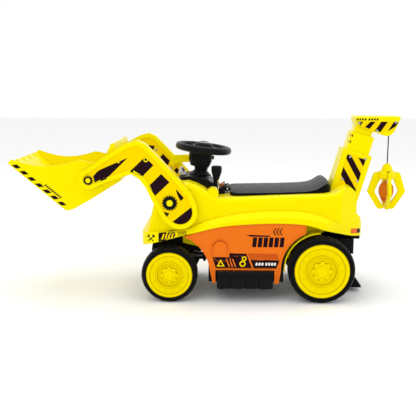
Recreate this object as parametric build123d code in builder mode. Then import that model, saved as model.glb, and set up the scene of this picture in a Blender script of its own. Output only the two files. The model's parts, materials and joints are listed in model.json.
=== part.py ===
from build123d import *
import os
from math import cos, radians, sin, tan

os.makedirs("parts", exist_ok=True)

# Ride-on digger, millimetres.  The nose and bucket point to -X, the crane to +X, +Z is up and the
# vehicle's left side is -Y.  The origin lies on the ground in the middle of the object's box.

# ---------------------------------------------------------------- driving dimensions
WALL = 3.0                       # moulded wall
GAP = 0.3                        # gap between faces that slide or turn on each other

FRONT_WHEEL = (-109.0, 73.0)     # x and z of the wheel centre
REAR_WHEEL = (283.0, 86.0)
FRONT_R, REAR_R = 73.0, 86.0     # tyre radius
FRONT_HUB_R, REAR_HUB_R = 60.0, 71.0
WHEEL_Y = 123.0                  # middle of the tyre's width
FRONT_WIDTH, REAR_WIDTH = 48.0, 52.0
AXLE_R = 5.0

CORE_HALF = 110.0                # half width of the body above the skirt
SKIRT_HALF = 137.0               # half width of the body's flared skirt
PANEL_IN, PANEL_OUT = 128.0, 132.0
CHASSIS_HALF = (60.0, 127.0, 86.0)   # front, middle and rear
DECK_FRONT, DECK_REAR = (18.0, 268.0), (292.0, 279.0)   # seat deck line

KINGPIN_Y = 80.0
STEER_ARM = 40.0                 # king pin to tie-rod pin
COLUMN_POINT = (-32.5, 325.0)    # a point of the steering axis, x and z
COLUMN_TILT = 7.0                # the column leans to the rear

ARM_IN, ARM_MID, ARM_OUT = 116.0, 129.0, 142.0
LIFT_PIVOT = (-106.0, 261.0)
BUCKET_PIVOT = (-312.0, 318.0)

SEAT_PIVOT = (40.0, 281.0)
LEVER_PIVOT = (8.0, -40.0, 283.0)

MAST_FOOT = (298.2, 227.0)       # lower front corner of the mast
MAST_TILT = 16.0
MAST_WIDTH, MAST_HALF, MAST_LENGTH = 80.0, 34.0, 170.0
STAGE_INSET, STAGE_HALF, STAGE_TOP = 9.0, 28.0, 219.0
JIB_HALF, JIB_TOP = 34.0, 474.0
CLAW_X, CORD_TOP, CORD_BOTTOM, CORD_R = 469.5, 422.5, 348.0, 1.5


def save(part, name):
    """Label a finished piece and write it."""
    part.label = name
    export_step(part, f"parts/{name}.step")


def on_side(half_width):
    """Drawing plane of a side view, at this distance to the vehicle's left."""
    return Plane.XZ.offset(half_width)


def column_plane(height):
    """Plane square to the steering column, this far above its reference point."""
    lean = radians(COLUMN_TILT)
    x = COLUMN_POINT[0] + height * sin(lean)
    z = COLUMN_POINT[1] + height * cos(lean)
    return Plane(origin=(x, 0, z), x_dir=(cos(lean), 0, -sin(lean)), z_dir=(sin(lean), 0, cos(lean)))


def mast_plane(side):
    """Side-view plane of the mast: x runs to the rear across the mast, y up along it."""
    lean = radians(MAST_TILT)
    foot = (MAST_FOOT[0], -side, MAST_FOOT[1])
    return Plane(origin=foot, x_dir=(cos(lean), 0, -sin(lean)), z_dir=(0, -1, 0))


def deck_z(x):
    """Height of the seat deck at x."""
    slope = (DECK_REAR[1] - DECK_FRONT[1]) / (DECK_REAR[0] - DECK_FRONT[0])
    return DECK_FRONT[1] + slope * (x - DECK_FRONT[0])


# ---------------------------------------------------------------- chassis pan
PAN_LOW, PAN_HIGH, BELLY_LOW = 118.0, 158.0, 52.0
PAN_FRONT, BELLY_FRONT, BELLY_REAR, PAN_REAR = -160.0, -8.0, 186.0, 372.0


def pan_outline(inset):
    """Plan of the pan, narrow between the wheels."""
    front, middle, rear = CHASSIS_HALF
    with BuildSketch() as outline:
        with BuildLine():
            Polyline(
                (PAN_FRONT, -front), (BELLY_FRONT, -front), (BELLY_FRONT, -middle), (BELLY_REAR, -middle),
                (BELLY_REAR, -rear), (PAN_REAR, -rear), (PAN_REAR, rear), (BELLY_REAR, rear),
                (BELLY_REAR, middle), (BELLY_FRONT, middle), (BELLY_FRONT, front), (PAN_FRONT, front),
                close=True,
            )
        make_face()
        if inset:
            offset(amount=-inset, kind=Kind.INTERSECTION, mode=Mode.REPLACE)
    return outline.sketch


belly_middle, belly_length = (BELLY_FRONT + BELLY_REAR) / 2, BELLY_REAR - BELLY_FRONT
column_drop = COLUMN_POINT[0] - (COLUMN_POINT[1] - PAN_LOW) * tan(radians(COLUMN_TILT))

with BuildPart() as chassis:
    with BuildSketch(Plane.XY.offset(PAN_LOW)):
        add(pan_outline(0))
    extrude(amount=PAN_HIGH - PAN_LOW)
    with BuildSketch(Plane.XY.offset(BELLY_LOW)):
        with Locations((belly_middle, 0)):
            Rectangle(belly_length, 2 * CHASSIS_HALF[1])
    extrude(amount=PAN_LOW - BELLY_LOW)
    with BuildSketch(Plane.XY.offset(PAN_LOW + WALL)):
        add(pan_outline(WALL))
    extrude(amount=PAN_HIGH - PAN_LOW, mode=Mode.SUBTRACT)
    with BuildSketch(Plane.XY.offset(BELLY_LOW + WALL)):
        with Locations((belly_middle, 0)):
            Rectangle(belly_length - 2 * WALL, 2 * (CHASSIS_HALF[1] - WALL))
    extrude(amount=PAN_LOW - BELLY_LOW, mode=Mode.SUBTRACT)
    # axle brackets under the rear tray
    with BuildSketch(on_side(-84)):
        with Locations((REAR_WHEEL[0], (REAR_WHEEL[1] + PAN_LOW) / 2)):
            Rectangle(34, PAN_LOW - REAR_WHEEL[1] + 2)
        with Locations(REAR_WHEEL):
            Circle(17)
    extrude(amount=8)
    mirror(about=Plane.XZ)
    # tow tongue
    with BuildSketch(Plane.XY.offset(143)):
        with Locations((PAN_REAR + 9, 0)):
            Rectangle(38, 36)
    extrude(amount=9)
    with Locations((PAN_REAR + 18, 0, 143)):
        Cylinder(5, 40, mode=Mode.SUBTRACT)
    # rear axle bore and steering shaft hole
    with Locations(Location((REAR_WHEEL[0], 0, REAR_WHEEL[1]), (90, 0, 0))):
        Cylinder(AXLE_R, 240, mode=Mode.SUBTRACT)
    with Locations((column_drop, 0, PAN_LOW)):
        Cylinder(9, 20, mode=Mode.SUBTRACT)
save(chassis.part, "chassis")

# ---------------------------------------------------------------- upper shell
SHELL_TOP = [
    (-165, 197), (-150, 255), (-88, 306), (-62, 309), (-41, 302), (-20, 291), (-11, 284),
    DECK_FRONT, DECK_REAR, (318, 282), (332, 291), (346, 296), (360, 294), (371, 284), (376, 268),
    (377, 226), (389, 214), (396, 190),
]
CREASE = [(-182, 182), (-120, 182), (-73, 187), (-20, 208), (21, 220), (85, 231), (149, 236), (212, 236),
          (270, 228), (320, 209), (360, 194), (398, 187)]
HEM = [(-190, 144), (-133, 160), (-73, 175), (-30, 186), (21, 198), (85, 205), (149, 208), (212, 207),
       (251, 202), (290, 190), (329, 178), (364, 168), (405, 166)]
SHELL_LOW = 60.0                 # both halves of the shape run down to here before the hem is cut


def shell_hull(inset):
    """The shell's outer form, or its hollow when drawn in by inset."""
    with BuildPart() as core:
        with BuildSketch(Plane.XZ):
            with BuildLine():
                Polyline((-168, SHELL_LOW), *SHELL_TOP, (394, SHELL_LOW), close=True)
            make_face()
            if inset:
                offset(amount=-inset, kind=Kind.INTERSECTION, mode=Mode.REPLACE)
        extrude(amount=CORE_HALF - inset, both=True)
        long_edges = core.faces().filter_by(Axis.Y).edges()
        roof = [e for e in long_edges if e.center().Z > 200]
        fillet(roof, radius=14 - inset)
    with BuildPart() as skirt:
        with BuildSketch(Plane.XZ):
            with BuildLine():
                top = Spline(*[(x, z - inset) for x, z in CREASE])
                Polyline(top @ 1, (398, SHELL_LOW), (-182, SHELL_LOW), top @ 0)
            make_face()
        extrude(amount=SKIRT_HALF - inset, both=True)
        crease = skirt.edges().filter_by(GeomType.BSPLINE)
        chamfer(crease, length=14)
    with BuildPart() as hull:
        add(core.part)
        add(skirt.part)
        with BuildSketch(Plane.XY):
            with BuildLine():
                Polyline(
                    (-181, -SKIRT_HALF), (290, -SKIRT_HALF), (396, -70), (396, 70), (290, SKIRT_HALF),
                    (-181, SKIRT_HALF), close=True,
                )
            outline = make_face()
            fillet(outline.vertices(), radius=36)
            if inset:
                offset(amount=-inset, kind=Kind.INTERSECTION, mode=Mode.REPLACE)
        extrude(amount=330, mode=Mode.INTERSECT)
    return hull.part


def arch_wall(wheel, radius, inner_y, wall_poly, start, end):
    """Wheel arch on the left: a band round the wheel and the wall behind it."""
    x, z = wheel
    with BuildPart() as arch:
        with BuildSketch(on_side(inner_y)):
            with BuildLine():
                a = CenterArc((x, z), radius, start, end - start)
                b = CenterArc((x, z), radius + WALL, start, end - start)
                Line(a @ 0, b @ 0)
                Line(a @ 1, b @ 1)
            make_face()
        extrude(amount=PANEL_IN - 1 - inner_y)
        with BuildSketch(on_side(inner_y)):
            with BuildLine():
                Polyline(*wall_poly, close=True)
            make_face()
        extrude(amount=WALL)
    return arch.part


with BuildPart() as arches:
    front_reach = [(-78, 140), (-78, 320), (-14, 320), (-14, 120), (-20, 127)]
    rear_reach = [(187.5, 112), (187.5, 320), (292, 320), (292, 176), (240, 170), (206, 140)]
    add(arch_wall(FRONT_WHEEL, 104, 62, front_reach, 25, 68))
    add(arch_wall(REAR_WHEEL, 93, 88, rear_reach, 92, 184))
    mirror(about=Plane.XZ)
    add(shell_hull(WALL / 2), mode=Mode.INTERSECT)

with BuildPart() as upper_shell:
    add(shell_hull(0))
    add(shell_hull(WALL), mode=Mode.SUBTRACT)
    # hem cut along the side
    with BuildSketch(Plane.XZ):
        with BuildLine():
            low = Spline(*HEM)
            Polyline(low @ 1, (405, 0), (-190, 0), low @ 0)
        make_face()
    extrude(amount=200, both=True, mode=Mode.SUBTRACT)
    add(arches.part)
    # round ends of the cockpit ridge
    with BuildSketch(on_side(-103)):
        with Locations((2, 279)):
            Circle(15)
    extrude(amount=30)
    with BuildSketch(on_side(73)):
        with Locations((2, 279)):
            Circle(15)
    extrude(amount=30)
    # storage opening in the deck
    with BuildSketch(Plane.XY.offset(255)):
        with Locations((172, 0)):
            RectangleRounded(190, 124, 12)
    extrude(amount=60, mode=Mode.SUBTRACT)
    # mast socket
    with BuildSketch(mast_plane(-MAST_HALF - GAP)):
        with Locations((MAST_WIDTH / 2, 80)):
            Rectangle(MAST_WIDTH + 2 * GAP, 160 + 2 * GAP)
    extrude(amount=2 * (MAST_HALF + GAP), mode=Mode.SUBTRACT)
    # hole for the steering column and bearings of the lift shaft
    with BuildSketch(column_plane(-60)):
        Circle(20)
    extrude(amount=60, mode=Mode.SUBTRACT)
    with Locations(Location((LIFT_PIVOT[0], 0, LIFT_PIVOT[1]), (90, 0, 0))):
        Cylinder(7 + GAP, 240, mode=Mode.SUBTRACT)
save(upper_shell.part, "upper_shell")


# ---------------------------------------------------------------- side panels and footsteps
def mirrored(part):
    """The same piece for the right side."""
    with BuildPart() as other:
        mirror(part, about=Plane.XZ)
    return other.part


STEP_FRONT, STEP_REAR, STEP_LOW, STEP_HIGH = 12.0, 160.0, 39.0, 84.0


def panel_face():
    """Side view of the panel between the wheels, its ends following the wheel arches."""
    with BuildSketch() as face:
        with BuildLine():
            front = CenterArc(FRONT_WHEEL, 105, 8, 61)
            rear = CenterArc(REAR_WHEEL, 104, 114, 68)
            Polyline(
                front @ 0, (3, 48), (STEP_FRONT - 2, 48), (STEP_FRONT - 2, STEP_HIGH),
                (STEP_REAR + 2, STEP_HIGH), (STEP_REAR + 2, 48), (173, 48), rear @ 1,
            )
            Line(rear @ 0, (243, 206))
            top = Polyline((243, 206), (180, 213), (110, 211), (40, 204), (-20, 190.5), (-70, 171.5))
            Line(top @ 1, front @ 1)
        make_face()
    return face.sketch


RELIEF_ROOT = PANEL_OUT - 1.0    # raised features start inside the plate

with BuildPart() as side_panel_left:
    with BuildSketch(on_side(PANEL_IN)):
        add(panel_face())
    extrude(amount=PANEL_OUT - PANEL_IN)
    # raised rolled edge
    with BuildSketch(on_side(RELIEF_ROOT)):
        add(panel_face())
        offset(amount=-4.5, kind=Kind.INTERSECTION, mode=Mode.SUBTRACT)
        with Locations((85, 210)):
            Rectangle(250, 50, mode=Mode.SUBTRACT)
    extrude(amount=2.5)
    # raised arch with a recess inside it
    with BuildSketch(on_side(RELIEF_ROOT)):
        with Locations((22, 133)):
            SlotCenterToCenter(22, 46, rotation=90)
            SlotCenterToCenter(22, 41, rotation=90, mode=Mode.SUBTRACT)
        with Locations((22, 106)):
            Rectangle(60, 28, mode=Mode.SUBTRACT)
    extrude(amount=2.6)
    with BuildSketch(on_side(PANEL_OUT - 1.5)):
        with Locations((22, 136)):
            SlotCenterToCenter(16, 39, rotation=90)
    extrude(amount=4, mode=Mode.SUBTRACT)
    # raised band that carries the lower decoration
    with BuildSketch(on_side(RELIEF_ROOT)):
        with BuildLine():
            Polyline(
                (3, 108), (46, 108), (51, 122), (94, 122), (102, 112), (180, 112), (175, 90), (9, 90),
                close=True,
            )
        make_face()
    extrude(amount=1.8)
save(side_panel_left.part, "side_panel_left")
save(mirrored(side_panel_left.part), "side_panel_right")

with BuildPart() as footstep_left:
    step_middle, step_length = (STEP_FRONT + STEP_REAR) / 2, STEP_REAR - STEP_FRONT
    with BuildSketch(Plane.XY.offset(STEP_LOW)):
        with Locations((step_middle, -136.5)):
            Rectangle(step_length - 4, 19)
    extrude(amount=STEP_HIGH - STEP_LOW - 1)
    # four track pads along the outer face
    lobe = (step_length - 4) / 4
    with BuildSketch(Plane.XY.offset(STEP_LOW)):
        with Locations((step_middle, -141)):
            with GridLocations(lobe, 1, 4, 1):
                RectangleRounded(lobe - 5, 18, 5)
    extrude(amount=29)
    upper_edges = footstep_left.edges().filter_by(Axis.X).group_by(Axis.Z)[-1]
    fillet(upper_edges, radius=3)
    # grip grooves in the tread
    with BuildSketch(Plane.XY.offset(STEP_HIGH - 2.5)):
        with Locations((step_middle, -138)):
            with GridLocations(lobe / 2, 1, 7, 1):
                Rectangle(3, 30)
    extrude(amount=5, mode=Mode.SUBTRACT)
save(footstep_left.part, "footstep_left")
save(mirrored(footstep_left.part), "footstep_right")

# ---------------------------------------------------------------- cockpit
with BuildPart() as dash_console:
    # sits on the hood, its underside following the hood line
    with BuildSketch(on_side(-56)):
        with BuildLine():
            Polyline(
                (-98, 298.3), (-88, 306.4), (-62, 309.4), (-41, 302.4), (-20, 291.4), (-11, 284.4),
                (14, 271.2), (15, 286), (2, 297), (-10, 308.9), (-62, 318), (-90, 314), close=True,
            )
        make_face()
    extrude(amount=112)
    fillet(dash_console.edges().filter_by(Axis.Y).group_by(Axis.Z)[-2:], radius=3)
    with BuildSketch(column_plane(-60)):
        Circle(20)
    extrude(amount=80, mode=Mode.SUBTRACT)
    # slot of the gear lever
    with BuildSketch(Plane.XY.offset(272)):
        with Locations((LEVER_PIVOT[0], LEVER_PIVOT[1])):
            Rectangle(34, 17)
    extrude(amount=30, mode=Mode.SUBTRACT)
save(dash_console.part, "dash_console")

with BuildPart() as instrument_panel:
    # tilted board in front of the column, its face towards the driver
    board = Plane(origin=(-78, -4, 317), x_dir=(0, 1, 0), z_dir=(0.84, 0, 0.54))
    with BuildSketch(board):
        RectangleRounded(56, 40, 6)
    extrude(amount=5)
    with BuildSketch(board):
        RectangleRounded(46, 30, 4)
    extrude(amount=-7)
    split(bisect_by=Plane(origin=(-78, 0, 318.6), z_dir=(-0.14, 0, 1)), keep=Keep.TOP)
save(instrument_panel.part, "instrument_panel")

CONTROL_FRONT, CONTROL_REAR, CONTROL_HALF, CONTROL_TOP = 17.0, 33.0, 42.0, 292.0
EAR_Y, EAR_WIDTH, EAR_R = 21.0, 6.0, 7.0

with BuildPart() as control_box:
    with BuildSketch(on_side(-CONTROL_HALF)):
        with BuildLine():
            Polyline(
                (CONTROL_FRONT, 269.2), (CONTROL_REAR, 269.8), (CONTROL_REAR, CONTROL_TOP),
                (CONTROL_FRONT, CONTROL_TOP - 8), close=True,
            )
        make_face()
    extrude(amount=2 * CONTROL_HALF)
    fillet(control_box.edges().filter_by(Axis.Z), radius=4)
    # hinge ears
    for ear in (-EAR_Y - EAR_WIDTH, EAR_Y):
        with BuildSketch(on_side(ear)):
            with Locations(SEAT_PIVOT):
                Circle(EAR_R)
            with Locations((SEAT_PIVOT[0] - 5, SEAT_PIVOT[1])):
                Rectangle(10, 2 * EAR_R - 2)
        extrude(amount=EAR_WIDTH)
    with Locations(Location((SEAT_PIVOT[0], 0, SEAT_PIVOT[1]), (90, 0, 0))):
        Cylinder(3, 80, mode=Mode.SUBTRACT)
    # well of the push button
    with BuildSketch(Plane.XY.offset(CONTROL_TOP - 14)):
        with Locations((25, -18)):
            Circle(5 + GAP)
    extrude(amount=20, mode=Mode.SUBTRACT)
save(control_box.part, "control_box")

with BuildPart() as power_button:
    with BuildSketch(Plane.XY.offset(CONTROL_TOP - 10)):
        with Locations((25, -18)):
            Circle(5)
    extrude(amount=12)
    fillet(power_button.edges().group_by(Axis.Z)[-1], radius=1)
save(power_button.part, "power_button")

with BuildPart() as storage_bin:
    with BuildSketch(Plane.XY.offset(196)):
        with Locations((172, 0)):
            RectangleRounded(180, 114, 10)
    extrude(amount=deck_z(77) - 196 + 1)
    with BuildSketch(Plane.XY.offset(196 + WALL)):
        with Locations((172, 0)):
            RectangleRounded(180 - 2 * WALL, 114 - 2 * WALL, 8)
    extrude(amount=120, mode=Mode.SUBTRACT)
save(storage_bin.part, "storage_bin")

with BuildPart() as seat_hinge_pin:
    with Locations(Location((SEAT_PIVOT[0], 0, SEAT_PIVOT[1]), (90, 0, 0))):
        Cylinder(3, 2 * (EAR_Y + EAR_WIDTH) + 3)
save(seat_hinge_pin.part, "seat_hinge_pin")


SEAT_FRONT, SEAT_REAR, SEAT_HALF = 47.0, 311.0, 84.0
SEAT_CROWN = [
    (49, 285), (60, 286.5), (176, 288.5), (240, 291), (262, 294), (274, 298), (284, 304), (292, 309.5),
    (299, 311), (305, 307.5), (309.5, 297),
]


def seat_section(drop):
    """Side view of the seat with its crown lowered by drop."""
    with BuildSketch() as section:
        with BuildLine():
            Polyline(
                (SEAT_FRONT, 281 - drop / 2), *[(x, z - drop) for x, z in SEAT_CROWN],
                (SEAT_REAR, 287 - drop / 4), (SEAT_REAR, deck_z(SEAT_REAR) + 2.8),
                (290, deck_z(290) + 0.6), (SEAT_FRONT, deck_z(SEAT_FRONT) + 0.6), close=True,
            )
        make_face()
    return section.sketch


with BuildPart() as seat_lid:
    for y, drop in ((-SEAT_HALF, 9), (-64, 4.5), (-38, 1.2), (0, 0), (38, 1.2), (64, 4.5), (SEAT_HALF, 9)):
        with BuildSketch(on_side(-y)):
            add(seat_section(drop))
    loft(ruled=True)
    with BuildSketch(Plane.XY.offset(200)):
        with Locations(((SEAT_FRONT + SEAT_REAR) / 2, 0)):
            RectangleRounded(SEAT_REAR - SEAT_FRONT, 2 * SEAT_HALF, 26)
    extrude(amount=160, mode=Mode.INTERSECT)
    # shallow hollow over the storage bin
    with BuildSketch(on_side(-62)):
        with BuildLine():
            Polyline((62, 250), (286, 250), (286, deck_z(286) + 5), (62, deck_z(62) + 5), close=True)
        make_face()
    extrude(amount=124, mode=Mode.SUBTRACT)
    # hinge barrel between the ears
    with BuildSketch(on_side(-(EAR_Y - 1))):
        with Locations(SEAT_PIVOT):
            Circle(6)
        with Locations((SEAT_PIVOT[0] + 5, SEAT_PIVOT[1] - 2)):
            Rectangle(10, 8)
    extrude(amount=2 * (EAR_Y - 1))
    with Locations(Location((SEAT_PIVOT[0], 0, SEAT_PIVOT[1]), (90, 0, 0))):
        Cylinder(3 + GAP, 80, mode=Mode.SUBTRACT)
save(seat_lid.part, "seat_lid")

# ---------------------------------------------------------------- steering column and wheel
with BuildPart() as column_boot:
    # flared foot, ribbed neck
    for low, high, wide, narrow in ((-9, -6, 29, 29), (-6, 4, 27, 16), (4, 14, 16, 17)):
        with BuildSketch(column_plane(low)):
            Circle(wide)
        with BuildSketch(column_plane(high)):
            Circle(narrow)
        loft()
    for rib in (5, 9):
        with BuildSketch(column_plane(rib)):
            Circle(18.5)
        extrude(amount=2)
    with BuildSketch(column_plane(-20)):
        Circle(7)
    extrude(amount=60, mode=Mode.SUBTRACT)
save(column_boot.part, "column_boot")

SHROUD_TOP = 49.0

with BuildPart() as column_shroud:
    # housing under the wheel, deeper towards the nose
    with BuildSketch(column_plane(14)):
        with Locations((-4, 0)):
            RectangleRounded(50, 50, 18)
    with BuildSketch(column_plane(30)):
        with Locations((-5, 0)):
            RectangleRounded(63, 60, 21)
    loft()
    with BuildSketch(column_plane(30)):
        with Locations((-5, 0)):
            RectangleRounded(63, 60, 21)
    extrude(amount=SHROUD_TOP - 30)
    with BuildSketch(column_plane(12)):
        Circle(7)
    extrude(amount=60, mode=Mode.SUBTRACT)
    with BuildSketch(column_plane(17)):
        with Locations((-5, 0)):
            RectangleRounded(42, 42, 14)
    extrude(amount=SHROUD_TOP - 20, mode=Mode.SUBTRACT)
    # key knob on the driver's side
    with BuildSketch(column_plane(36)):
        with Locations((27, 0)):
            RectangleRounded(9, 12, 3)
    extrude(amount=9)
save(column_shroud.part, "column_shroud")

RIM_R, RIM_TUBE, RIM_HEIGHT = 67.0, 8.5, 63.0
HUB_LOW, HUB_HIGH, WELL_LOW = 52.0, 68.0, 55.0

with BuildPart() as steering_wheel:
    foot = column_plane(0)
    with BuildSketch(Plane(origin=column_plane(RIM_HEIGHT).origin, x_dir=foot.x_dir, z_dir=(0, -1, 0))):
        with Locations((RIM_R, 0)):
            Ellipse(RIM_TUBE, RIM_TUBE + 1)
    revolve(axis=Axis(foot.origin, foot.z_dir))
    with BuildSketch(column_plane(HUB_LOW)):
        Circle(30)
    extrude(amount=HUB_HIGH - HUB_LOW)
    # three spokes
    with BuildSketch(column_plane(RIM_HEIGHT - 4)):
        for turn in (0, 125, 235):
            with Locations(Location((0, 0, 0), (0, 0, turn))):
                with Locations((47, 0)):
                    Rectangle(40, 20)
    extrude(amount=8)
    # well for the sound module and button
    with BuildSketch(column_plane(WELL_LOW)):
        Circle(26)
    extrude(amount=20, mode=Mode.SUBTRACT)
    with BuildSketch(column_plane(HUB_LOW - 5)):
        Circle(AXLE_R)
    extrude(amount=20, mode=Mode.SUBTRACT)
save(steering_wheel.part, "steering_wheel")

with BuildPart() as sound_module:
    with BuildSketch(column_plane(WELL_LOW + 0.2)):
        Circle(24)
        Circle(AXLE_R + 1, mode=Mode.SUBTRACT)
    extrude(amount=6)
save(sound_module.part, "sound_module")

with BuildPart() as horn_button:
    # straight skirt, then a dome in three slopes
    dome = ((65, 5, 25.7, 0), (70, 6, 25.7, 40), (76, 4, 20.6, 58), (80, 1.6, 14.2, 75))
    for low, height, reach, slope in dome:
        with BuildSketch(column_plane(low)):
            Circle(reach)
        extrude(amount=height, taper=slope)
save(horn_button.part, "horn_button")

CRANK_HEIGHT = -231.0
SHAFT_TOP = 60.0

with BuildPart() as steering_shaft:
    with BuildSketch(column_plane(CRANK_HEIGHT)):
        Circle(AXLE_R)
    extrude(amount=SHAFT_TOP - CRANK_HEIGHT)
    with BuildSketch(column_plane(CRANK_HEIGHT)):
        with Locations((STEER_ARM / 2, 0)):
            SlotCenterToCenter(STEER_ARM, 14)
    extrude(amount=6)
    with BuildSketch(column_plane(CRANK_HEIGHT - 17)):
        with Locations((STEER_ARM, 0)):
            Circle(4)
    extrude(amount=18)
save(steering_shaft.part, "steering_shaft")

# ---------------------------------------------------------------- front axle
KING_LOW, KING_HIGH = 53.0, 95.0
TIE_LOW, TIE_HIGH = 82.0, 88.0
TIE_X = FRONT_WHEEL[0] + STEER_ARM

with BuildPart() as front_beam:
    for low, high in ((KING_LOW - 11, KING_LOW - 1), (KING_HIGH + 1, KING_HIGH + 11)):
        with BuildSketch(Plane.XY.offset(low)):
            with Locations((FRONT_WHEEL[0], 0)):
                SlotCenterToCenter(2 * KINGPIN_Y, 22, rotation=90)
        extrude(amount=high - low)
    with BuildSketch(Plane.XY.offset(KING_LOW - 5)):
        with Locations((FRONT_WHEEL[0], 0)):
            Rectangle(12, 112)
    extrude(amount=KING_HIGH + 10 - KING_LOW)
    with BuildSketch(Plane.XY.offset(KING_HIGH + 5)):
        with Locations((FRONT_WHEEL[0], 0)):
            Rectangle(44, 90)
    extrude(amount=PAN_LOW - KING_HIGH - 5)
    with Locations((FRONT_WHEEL[0], -KINGPIN_Y, 70), (FRONT_WHEEL[0], KINGPIN_Y, 70)):
        Cylinder(4.5 + GAP, 120, mode=Mode.SUBTRACT)
save(front_beam.part, "front_beam")

with BuildPart() as knuckle_left:
    with Locations((FRONT_WHEEL[0], -KINGPIN_Y, (KING_LOW + KING_HIGH) / 2)):
        Cylinder(9, KING_HIGH - KING_LOW)
        Cylinder(4.5, KING_HIGH - KING_LOW + 20)
    with Locations(Location((FRONT_WHEEL[0], -(KINGPIN_Y + 145) / 2, FRONT_WHEEL[1]), (90, 0, 0))):
        Cylinder(AXLE_R, 145 - KINGPIN_Y)
    with Locations(Location((FRONT_WHEEL[0], -(KINGPIN_Y + 97.5) / 2, FRONT_WHEEL[1]), (90, 0, 0))):
        Cylinder(9, 97.5 - KINGPIN_Y)
    with BuildSketch(Plane.XY.offset(72)):
        with Locations((FRONT_WHEEL[0] + STEER_ARM / 2, -KINGPIN_Y)):
            SlotCenterToCenter(STEER_ARM, 14)
    extrude(amount=TIE_LOW - 0.6 - 72)
    with BuildSketch(Plane.XY.offset(72)):
        with Locations((TIE_X, -KINGPIN_Y)):
            Circle(4)
    extrude(amount=TIE_HIGH + 4 - 72)
save(knuckle_left.part, "knuckle_left")
save(mirrored(knuckle_left.part), "knuckle_right")

crank_pin = column_plane(CRANK_HEIGHT - 5.8).from_local_coords((STEER_ARM, 0, 0))

with BuildPart() as tie_rod:
    with BuildSketch(Plane.XY.offset(TIE_LOW)):
        with Locations((TIE_X, 0)):
            SlotCenterToCenter(2 * KINGPIN_Y, 16, rotation=90)
        with Locations(((TIE_X + crank_pin.X) / 2 + 2, 0)):
            RectangleRounded(crank_pin.X - TIE_X + 16, 28, 6)
        with Locations((TIE_X, -KINGPIN_Y)):
            Circle(4 + GAP, mode=Mode.SUBTRACT)
        with Locations((TIE_X, KINGPIN_Y), (crank_pin.X, 0)):
            Circle(5.6, mode=Mode.SUBTRACT)
    extrude(amount=TIE_HIGH - TIE_LOW)
save(tie_rod.part, "tie_rod")

# ---------------------------------------------------------------- rear axle, anti-tip foot
with BuildPart() as rear_axle:
    with Locations(Location((REAR_WHEEL[0], 0, REAR_WHEEL[1]), (90, 0, 0))):
        Cylinder(AXLE_R, 290)
save(rear_axle.part, "rear_axle")

with BuildPart() as rear_foot:
    with BuildSketch(Plane.XY.offset(PAN_LOW - 5)):
        with Locations((357, 0)):
            Rectangle(26, 80)
    extrude(amount=5)
    with BuildSketch(Plane.XY.offset(12)):
        with Locations((389, 0)):
            Rectangle(32, 80)
    extrude(amount=5)
    for web in (24, -32):
        with BuildSketch(on_side(web)):
            with BuildLine():
                Polyline(
                    (345, 113), (370, 113), (374, 60), (384, 44), (405, 16), (373, 14), (360, 52),
                    close=True,
                )
            make_face()
        extrude(amount=8)
save(rear_foot.part, "rear_foot")

with BuildPart() as rear_lock_nuts:
    for side in (-1, 1):
        with Locations(Location((REAR_WHEEL[0], side * 145.5, REAR_WHEEL[1]), (90, 0, 0))):
            Cylinder(8, 3)
    with Locations(Location((REAR_WHEEL[0], 0, REAR_WHEEL[1]), (90, 0, 0))):
        Cylinder(AXLE_R, 292, mode=Mode.SUBTRACT)
save(rear_lock_nuts.part, "rear_lock_nuts")

# ---------------------------------------------------------------- wheels
TREADS = 26


def wheel_plane(wheel, side):
    """Plane through the wheel's middle; its normal points out of the vehicle."""
    return Plane(origin=(wheel[0], side * WHEEL_Y, wheel[1]), x_dir=(1, 0, 0), z_dir=(0, side, 0))


def wheel_section(across):
    """Half-section plane of a wheel: x runs outward from the axle, y along it."""
    return Plane(origin=across.origin, x_dir=across.x_dir, z_dir=across.x_dir.cross(across.z_dir))


def tyre(wheel, side, radius, hub_radius, width):
    """Hollow moulded tyre with a chunky tread, a ring round the wheel disc."""
    half = width / 2
    across = wheel_plane(wheel, side)
    section = wheel_section(across)
    with BuildPart() as ring:
        with BuildSketch(section):
            with BuildLine():
                Polyline(
                    (hub_radius + 0.05, -half), (hub_radius + 4, -half), (radius - 4, -half + 2.5),
                    (radius - 0.5, -half + 8), (radius, 0), (radius - 0.5, half - 8),
                    (radius - 4, half - 2.5), (hub_radius + 4, half), (hub_radius + 0.05, half),
                    close=True,
                )
            make_face()
        revolve(axis=Axis(across.origin, across.z_dir))
        for end in (-half + 4, half - 4):
            with BuildSketch(across.offset(end)):
                with PolarLocations(radius, TREADS):
                    Rectangle(5, 6)
            extrude(amount=5.5, both=True, mode=Mode.SUBTRACT)
    return ring.part


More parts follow.
